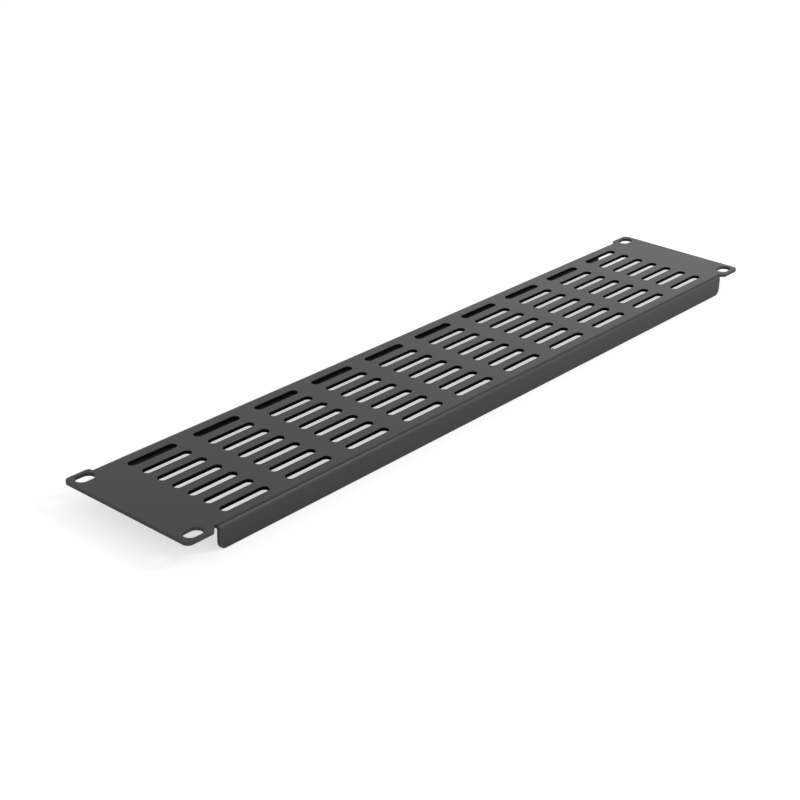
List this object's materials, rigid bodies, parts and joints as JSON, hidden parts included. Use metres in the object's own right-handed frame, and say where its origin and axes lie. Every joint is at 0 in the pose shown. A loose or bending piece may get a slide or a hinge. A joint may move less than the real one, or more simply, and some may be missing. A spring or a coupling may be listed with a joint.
{
  "type": "rack blanking panel",
  "caption": "Vented two-unit blanking panel for a 19-inch rack, folded from one steel sheet, with slotted ears and a return flange along each long edge.",
  "frame": {"origin": "middle of the four rack slots, on the rear side of the sheet, which seats on the rack rails", "axes": "+X along the panel's width, +Y up its two-unit height when it is mounted, +Z out of its front face; the panel lies face up on its flange edges"},
  "size_m": [0.4826, 0.0882, 0.013],
  "materials": {
    "powder_coat": "fine-textured satin black powder coat on steel sheet"
  },
  "bodies": {
    "root": {"blanking_panel": "powder_coat"}
  },
  "joints": []
}
